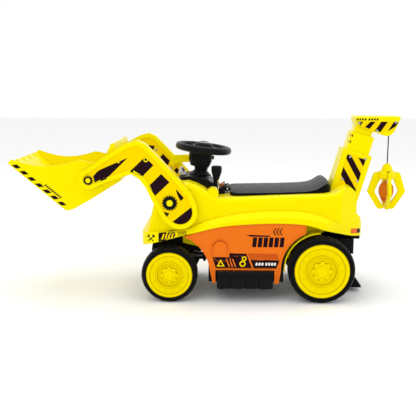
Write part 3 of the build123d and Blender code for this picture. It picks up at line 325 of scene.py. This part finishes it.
# ---------------------------------------------------------------- loader arms
ARM_OUTER_FACE, ARM_INNER_FACE = 140.0, 118.0   # recessed faces, from the middle plane
LIFT_PIVOT, LIFT_CAP_FACE = (-106, 261), 144.6
BUCKET_PIN, BUCKET_PIN_FACE = (-312, 318), 144.4
ELBOW_SCREW = (-165, 371)
ARM_BLACK = [
    [(-299, 329), (-295, 311), (-267, 321), (-210, 376), (-284, 344)],
    [(-167, 378), (-146, 357), (-174, 329), (-206, 341)],
    [(-127, 335), (-106, 314), (-143, 279), (-159, 304)],
    [(-90, 297), (-70, 274), (-78, 266), (-84, 276), (-88, 286)],
    [(-123, 239), (-107, 234), (-114, 225)],
]
ARM_INNER_BLACK = [
    [(-206, 368), (-204, 376), (-188, 384), (-169, 382), (-176, 364)],
    [(-160, 343), (-146, 359), (-124, 337), (-138, 321)],
    [(-115, 312), (-106, 320), (-98, 308), (-106, 301)],
    [(-299, 329), (-295, 311), (-267, 321), (-214, 372), (-284, 344)],
]
END_CIRCLE = (-80.0, 237.0, 31.0)       # round end of the arm, inside its rim


def end_segment():
    """Black segment that fills the lower corner of the arm's round end."""
    x, z, radius = END_CIRCLE
    return [(x + radius * math.cos(math.radians(t)), z + radius * math.sin(math.radians(t)))
            for t in range(-128, 31, 9)]


for side, hand in HANDS:
    outer, inner = f"arm_{hand}_outer", f"arm_{hand}_inner"
    skin_patch(f"arm_field_{hand}_outer", outer, side * ARM_OUTER_FACE, gold_film)
    skin_patch(f"arm_field_{hand}_inner", inner, side * ARM_INNER_FACE, gold_film)
    film(f"arm_marks_{hand}_outer", outer, side, ARM_BLACK + [end_segment()], black_film,
         lift=0.35)
    lathe(f"pivot_centre_{hand}", (LIFT_PIVOT[0], side * LIFT_CAP_FACE, LIFT_PIVOT[1]), (0, side, 0),
          [(0, 1.4), (5, 1.1), (8.2, 0.5), (8.4, -0.4), (0, -0.4)], yellow, "loader")
    lathe(f"bucket_pin_centre_{hand}", (BUCKET_PIN[0], side * BUCKET_PIN_FACE, BUCKET_PIN[1]), (0, side, 0),
          [(0, 1.3), (4, 1.0), (6.3, 0.4), (6.5, -0.4), (0, -0.4)], yellow, "loader")
    lathe(f"elbow_boss_{hand}", (ELBOW_SCREW[0], side * ARM_OUTER_FACE, ELBOW_SCREW[1]), (0, side, 0),
          [(3.4, -0.3), (3.4, 1.4), (4.2, 1.9), (5.4, 1.9), (6.2, 1.2), (6.2, -0.3), (3.4, -0.3)], yellow,
          "loader")


def prism(built, low, high):
    """Closed prism between two loops of points in metres."""
    low = [built.verts.new(point) for point in low]
    high = [built.verts.new(point) for point in high]
    built.faces.new(low)
    built.faces.new(list(reversed(high)))
    for k in range(len(low)):
        n = (k + 1) % len(low)
        built.faces.new([low[k], low[n], high[n], high[k]])


# marks on the arms' faces that look towards the middle plane
for side, hand in reversed(HANDS):
    near, far = side * (ARM_INNER_FACE - 0.35) * MM, side * (ARM_INNER_FACE - 0.05) * MM
    built = bmesh.new()
    for outline in ARM_INNER_BLACK:
        prism(built, *([(x * MM, y, z * MM) for x, z in outline] for y in (near, far)))
    finish_piece(f"arm_marks_{hand}_inner", built, black_film, body_of(f"arm_{hand}_inner"))


def pin_teeth(count=12):
    """Teeth round the bucket pin, each a tapered four-cornered outline."""
    teeth = []
    for k in range(count):
        c, s = math.cos(2 * math.pi * k / count), math.sin(2 * math.pi * k / count)
        corners = ((9.5, -1.5), (12.3, -1.1), (12.3, 1.1), (9.5, 1.5))
        teeth.append([(BUCKET_PIN[0] + r * c - w * s, BUCKET_PIN[1] + r * s + w * c) for r, w in corners])
    return teeth


for side, hand in HANDS:
    film(f"bucket_pin_teeth_{hand}", f"arm_{hand}_outer", side, pin_teeth(), black_film,
         lift=0.9, skirt=1.2)

# ---------------------------------------------------------------- hazard strip of the bucket
EDGE_LIP, EDGE_HEEL = Vector((-512.0, 357.0)), Vector((-385.0, 245.0))
along = (EDGE_HEEL - EDGE_LIP).normalized()
inward = Vector((-along.y, along.x))


def edge_block(start, length, low, high, slant):
    """Slanted block along the bucket's lower front edge, between two depths from the edge."""
    corners = []
    end = start + length
    for distance, depth in ((start, low), (end, low), (end + slant, high), (start + slant, high)):
        point = EDGE_LIP + along * distance + inward * depth
        corners.append((point.x, point.y))
    return corners


for side, hand in HANDS:
    blocks = [edge_block(4 + 24.5 * k, 13.5, 1.2, 10.5, slant=9.0) for k in range(7)]
    film(f"bucket_blocks_{hand}", "bucket", side, blocks, black_film, lift=0.4)
    dashes = [edge_block(98 + 6 * k, 3.6, 13.0, 19.0, slant=2.0) for k in range(9)]
    film(f"bucket_dashes_{hand}", "bucket", side, dashes, black_film, lift=0.3)

# ---------------------------------------------------------------- nose and tail of the shell
CROSS_AT = (-156.0, 167.0)              # middle of the crossed hammers


def bar(cx, cz, length, width, turn):
    """Rectangle outline round a centre, turned in the side view."""
    c, s = math.cos(math.radians(turn)), math.sin(math.radians(turn))
    a, b = length / 2, width / 2
    return [(cx + u * c - v * s, cz + u * s + v * c) for u, v in ((-a, -b), (a, -b), (a, b), (-a, b))]


for side, hand in HANDS:
    cross = [bar(*CROSS_AT, 19, 2.4, 42), bar(*CROSS_AT, 19, 2.4, -42)]
    cross += [bar(CROSS_AT[0] + dx, CROSS_AT[1] + 6.4, 7.5, 4, turn) for dx, turn in ((-6.9, 42), (6.9, -42))]
    film(f"nose_icon_{hand}", "upper_shell", side, cross, black_film, fine=4)
    block = [[(-136, 160), (-137, 180), (-94, 184.5), (-94, 169)]]
    film(f"nose_block_{hand}", "upper_shell", side, block, black_film, fine=4)
    lines = [
        [(-129 + 8 * k, 165 + 1.2 * k), (-124.5 + 8 * k, 165.5 + 1.2 * k), (-121 + 8 * k, 178 + 0.6 * k),
         (-125.5 + 8 * k, 177.5 + 0.6 * k)]
        for k in range(4)
    ]
    film(f"nose_lines_{hand}", "upper_shell", side, lines, gold_film, lift=0.6, fine=4)
    box = [bar(-77, 183.2, 24, 1, 6), bar(-76, 176.6, 24, 1, 8)]
    box += [bar(-85 + 4.4 * k, 179.4 + 0.5 * k, 2.2, 3.6, 8) for k in range(5)]
    film(f"nose_label_{hand}", "upper_shell", side, box, black_film, fine=4)
    lamp = [[(363, 174.5), (363, 187), (380, 185), (380, 173)]]
    film(f"tail_lens_{hand}", "upper_shell", side, lamp, lens, lift=1.6, skirt=2.0)
    plate = [[(380.6, 173), (380.6, 185), (390, 183), (390, 172.5)]]
    film(f"tail_plate_{hand}", "upper_shell", side, plate, black, lift=1.2, skirt=1.6)

# ---------------------------------------------------------------- side panel stickers
BAND_BLACK = [
    [(2, 118), (46, 118), (46, 129), (90, 128), (104, 89), (11, 89)],
    [(100, 113), (175, 111), (167, 89), (109, 89)],
]
BAND_SHADE = [[(93, 129), (168, 128), (174, 113), (98, 115)]]
CHEVRONS = [
    [(x, 186), (x + 6, tip), (x + 9, tip), (x + 3, 186)] for x in (157, 165, 173) for tip in (195.5, 176.5)
]
BIG_BARS = [[(x, 145.5), (x + 10.5, 145.5), (x + 13, 171), (x + 2.5, 171)] for x in range(104, 175, 14)]
BIG_BARS += [[(88, 178), (150, 176), (150, 172.8), (101, 172.8)]]


def arc(x, z, radius, turns):
    """Points of an arc at these angles."""
    return [(x + radius * math.cos(t), z + radius * math.sin(t)) for t in turns]


def arch_shade():
    """Painted shadow: crescent in the round top of the moulded arch's recess, as a row of four-cornered
    outlines.
    """
    turns = [math.radians(t) for t in range(10, 171, 10)]
    outer, inner = arc(22, 144, 19.1, turns), arc(22.6, 141, 17.8, turns)
    return [list(corners) for corners in zip(outer, outer[1:], inner[1:], inner)]


for side, hand in HANDS:
    panel = f"side_panel_{hand}"
    film(f"band_shade_{hand}", panel, side, BAND_SHADE, burnt, lift=0.2, fine=3)
    film(f"band_black_{hand}", panel, side, BAND_BLACK, black_film, lift=0.3, fine=3)
    triangle = [[(13, 94), (34, 94), (23.5, 112.5)]]
    film(f"band_triangle_{hand}", panel, side, triangle, gold_film, lift=0.55, fine=4)
    core = [[(18.5, 97), (28.5, 97), (23.5, 106)]]
    film(f"band_triangle_core_{hand}", panel, side, core, black_film, lift=0.75, fine=4)
    slashes = [[(x, 114), (x + 3.6, 114), (x + 12, 93), (x + 8.4, 93)] for x in (36, 44, 52)]
    film(f"band_slashes_{hand}", panel, side, slashes, orange, lift=0.55, fine=4)
    rings = ring_quads(84, 115, 3.2, 6.2) + ring_quads(80, 101.5, 4.6, 8.2)
    film(f"band_rings_{hand}", panel, side, rings, gold_film, lift=0.55, fine=6)
    starts = (113, 120.5, 128, 138, 145.5, 153, 160)
    white = [[(x, 97), (x + 5, 97), (x + 6.2, 104.5), (x + 1.2, 104.5)] for x in starts]
    film(f"band_bars_{hand}", panel, side, white, white_film, lift=0.55, fine=5)
    film(f"panel_bars_{hand}", panel, side, BIG_BARS, black_film, lift=0.3)
    film(f"panel_chevrons_{hand}", panel, side, CHEVRONS, black_film, lift=0.3)
    film(f"arch_shade_{hand}", panel, side, arch_shade(), burnt, lift=0.2, fine=9)

# ---------------------------------------------------------------- mast and jib stickers
MAST_LEAN = math.radians(16)
MAST_X, MAST_Z = 298.2, 227.0           # lower front corner of the mast


def on_mast(points):
    """Points given across and up the mast, as side-view points."""
    c, s = math.cos(MAST_LEAN), math.sin(MAST_LEAN)
    return [(MAST_X + a * c + b * s, MAST_Z - a * s + b * c) for a, b in points]


MAST_FIELD = [[(14.5, 161), (66, 161), (67, 60), (37, 79), (21, 70), (14.5, 76)]]
MAST_BLACK = [
    [(15, 158), (25, 158), (65, 119), (65.5, 96.5), (15, 147)],
    [(45, 157.5), (65.5, 158.5), (65, 138.5)],
    [(15, 124), (66.5, 74), (66.5, 62), (38, 79), (15, 102)],
]
JIB_FIELD = [
    [(375, 461.5), (489, 461.5), (484, 453), (477, 437), (458, 434), (441, 431.8), (424, 434.5), (398, 445)],
]
JIB_BLACK = [
    [(378, 460.5), (394, 460.5), (387, 449.5)],
    [(413, 460.5), (426, 460.5), (411, 441.5), (399, 446.5)],
    [(441, 460.5), (458, 460.5), (440, 433.5), (425, 436.5)],
    [(474, 460.5), (487.5, 460.5), (477.5, 447), (459, 436)],
]
for side, hand in HANDS:
    mast = f"mast_{hand}"
    film(f"mast_field_{hand}", mast, side, [on_mast(p) for p in MAST_FIELD], gold_film,
         lift=0.15)
    film(f"mast_marks_{hand}", mast, side, [on_mast(p) for p in MAST_BLACK], black_film,
         lift=0.3)
    jib = f"jib_{hand}"
    film(f"jib_field_{hand}", jib, side, JIB_FIELD, gold_film, lift=0.15)
    film(f"jib_marks_{hand}", jib, side, JIB_BLACK, black_film, lift=0.3)
    starts = (376, 383, 390, 397, 407, 414, 421, 428)
    dashes = [[(x, 463.8), (x + 4.5, 463.8), (x + 6, 468.8), (x + 1.5, 468.8)] for x in starts]
    film(f"jib_dashes_{hand}", jib, side, dashes, black_film, lift=0.3)

# painted shade: a black plate inside each of the two height holes of the inner mast, and a black mark beside
# each hole, so the holes read dark
HOLE_HEIGHTS = (191.5, 208.5)
HOLE_Y, HOLE_HALF_WIDTH, HOLE_HALF_HEIGHT = -19.0, 4.2, 3.2
for side, hand in HANDS:
    marks = [on_mast([(9.7, h - 3.6), (14.6, h - 3.6), (14.6, h + 3.6), (9.7, h + 3.6)]) for h in HOLE_HEIGHTS]
    film(f"mast_latch_marks_{hand}", "mast_inner", side, marks, black_film, lift=0.25,
         skirt=0.4)
for number, height in enumerate(HOLE_HEIGHTS):
    loops = []
    for across in (10.0, 11.6):
        low, high = on_mast([(across, height - HOLE_HALF_HEIGHT), (across, height + HOLE_HALF_HEIGHT)])
        ends = (HOLE_Y - HOLE_HALF_WIDTH, HOLE_Y + HOLE_HALF_WIDTH)
        loop = [(low, ends[0]), (low, ends[1]), (high, ends[1]), (high, ends[0])]
        loops.append([(point[0] * MM, y * MM, point[1] * MM) for point, y in loop])
    # black plate standing in as painted shade inside this hole
    built = bmesh.new()
    prism(built, *loops)
    finish_piece(f"mast_latch_{number + 1}", built, black, body_of("mast_inner"))

# dark band low on the claw's core
CLAW_X = 469.5
lathe("core_band", (CLAW_X, 0, 249), (0, 0, 1), [(11.6, 0), (12.7, 0), (15.1, 5), (14.0, 5), (11.6, 0)], burnt,
      "core")

# ---------------------------------------------------------------- cockpit details
COLUMN_LEAN = math.radians(7)
COLUMN_AXIS = (math.sin(COLUMN_LEAN), 0, math.cos(COLUMN_LEAN))


def on_column(height):
    """Point of the steering axis at this distance above its reference."""
    return (-32.5 + height * COLUMN_AXIS[0], 0, 325 + height * COLUMN_AXIS[2])


HORN_DOME = [
    (0, 0), (25.7, 0), (25.7, 5), (24.6, 7.5), (22.6, 9.9), (19.6, 12.1), (16.2, 13.7), (12.4, 15.0),
    (8.2, 15.9), (4.2, 16.4), (0, 16.6),
]
lathe("horn_dome", on_column(65), COLUMN_AXIS, HORN_DOME, black, "horn",
      replaces="horn_button")
lathe("horn_ring", on_column(78.2), COLUMN_AXIS,
      [(14.4, 0), (14.2, 1.4), (15.4, 1.6), (17.0, 0.9), (17.2, 0), (14.4, 0)], silver, "horn")

# gauges in a row on the tilted instrument board
BOARD_AT, BOARD_OUT = Vector((-78, -4, 317)), Vector((0.84, 0, 0.54)).normalized()
BOARD_RIGHT = Vector((0, 1, 0))
GAUGE_ROW = BOARD_AT + BOARD_OUT.cross(BOARD_RIGHT) * 10.5 + BOARD_OUT * 5
for number, (across, radius) in enumerate(((-15, 8), (4, 5.5), (17, 5))):
    gauge = [(0, 0.4), (radius - 1.4, 0.4), (radius - 1.2, 1.0), (radius, 0.8), (radius, -0.4), (0, -0.4)]
    lathe(f"gauge_{number + 1}", GAUGE_ROW + BOARD_RIGHT * across, BOARD_OUT, gauge, navy, "base")

# ---------------------------------------------------------------- tyre side rings
WHEEL_Y = 123                           # middle of a tyre's width
AXLES = (("front", -109, 73, 24), ("rear", 283, 86, 26))    # name, x, radius, half width
for end, axle_x, radius, half in AXLES:
    for side, hand in HANDS:
        place = f"{end}_{hand}"
        wall = (axle_x, side * (WHEEL_Y + half), radius)
        for number, (inset, sink) in enumerate(((6.0, -0.9), (9.5, -0.3))):
            mid = radius - inset
            ridge = [
                (mid - 0.9, sink - 1.2), (mid - 0.7, sink + 0.4), (mid, sink + 0.9), (mid + 0.7, sink + 0.4),
                (mid + 0.9, sink - 1.2), (mid - 0.9, sink - 1.2),
            ]
            lathe(f"tyre_ring_{place}_{number + 1}", wall, (0, side, 0), ridge, tyre_black,
                  body_of(f"tyre_{place}"), segments=96)

# ---------------------------------------------------------------- cord
CORD_X, CORD_TOP, CORD_BOTTOM = CLAW_X, 422.5, 348.0
curve = bpy.data.curves.new("hoist_cord", "CURVE")
curve.dimensions = "3D"
spline = curve.splines.new("NURBS")
spline.points.add(3)
for point, height in zip(spline.points, (CORD_TOP, 398.0, 373.0, CORD_BOTTOM)):
    point.co = (CORD_X * MM, 0, height * MM, 1)
spline.order_u = 3
spline.use_endpoint_u = True
curve.bevel_depth = 0.0015
curve.bevel_resolution = 4
curve.use_fill_caps = True
hoist = bpy.data.objects.new("hoist_cord", curve)
bpy.context.collection.objects.link(hoist)
curve.materials.append(twine)
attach(hoist, body_of("cord"))
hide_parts("cord")

# ---------------------------------------------------------------- floor, light, camera
FLOOR_HALF = 9.0                        # metres
floor_mesh = bpy.data.meshes.new("studio_floor")
floor_corners = [(FLOOR_HALF * u, FLOOR_HALF * v, 0) for u, v in ((-1, -1), (1, -1), (1, 1), (-1, 1))]
floor_mesh.from_pydata(floor_corners, [], [(0, 1, 2, 3)])
studio_floor = bpy.data.objects.new("studio_floor", floor_mesh)
bpy.context.collection.objects.link(studio_floor)
floor_mesh.materials.append(moulded("floor_paper", (0.92, 0.92, 0.92, 1), rough=0.9, grain=0.01, edge=0))

world = bpy.data.worlds.new("studio")
bpy.context.scene.world = world
world.use_nodes = True
world.node_tree.nodes["Background"].inputs["Color"].default_value = (1, 1, 1, 1)
world.node_tree.nodes["Background"].inputs["Strength"].default_value = 1.0
bpy.context.scene.view_settings.view_transform = "Standard"


def softbox(name, place, target, width, height, power):
    """Rectangular area light aimed at a point; metres and watts."""
    data = bpy.data.lights.new(name, "AREA")
    data.shape = "RECTANGLE"
    data.size, data.size_y, data.energy = width, height, power
    lamp = bpy.data.objects.new(name, data)
    lamp.location = place
    lamp.rotation_euler = (Vector(target) - Vector(place)).to_track_quat("-Z", "Y").to_euler()
    bpy.context.collection.objects.link(lamp)


AIM = (0, 0, 0.2)
softbox("key", (-1.1, -2.2, 2.3), AIM, 1.8, 1.4, 14)
softbox("fill", (2.2, -1.6, 1.4), AIM, 1.6, 1.4, 5)
softbox("top", (0, 0.2, 2.6), AIM, 2.2, 1.4, 16)

IMAGE_WIDTH, FOCAL_LENGTH = 416.0, 681.0    # pixels
camera_data = bpy.data.cameras.new("camera")
camera_data.sensor_width = 36.0
camera_data.lens = camera_data.sensor_width * FOCAL_LENGTH / IMAGE_WIDTH
camera = bpy.data.objects.new("camera", camera_data)
camera.location = (0.0375, -1.836, 0.5625)
camera.rotation_euler = Vector((-0.02697, 0.98294, -0.18193)).to_track_quat("-Z", "Y").to_euler()
bpy.context.collection.objects.link(camera)
bpy.context.scene.camera = camera
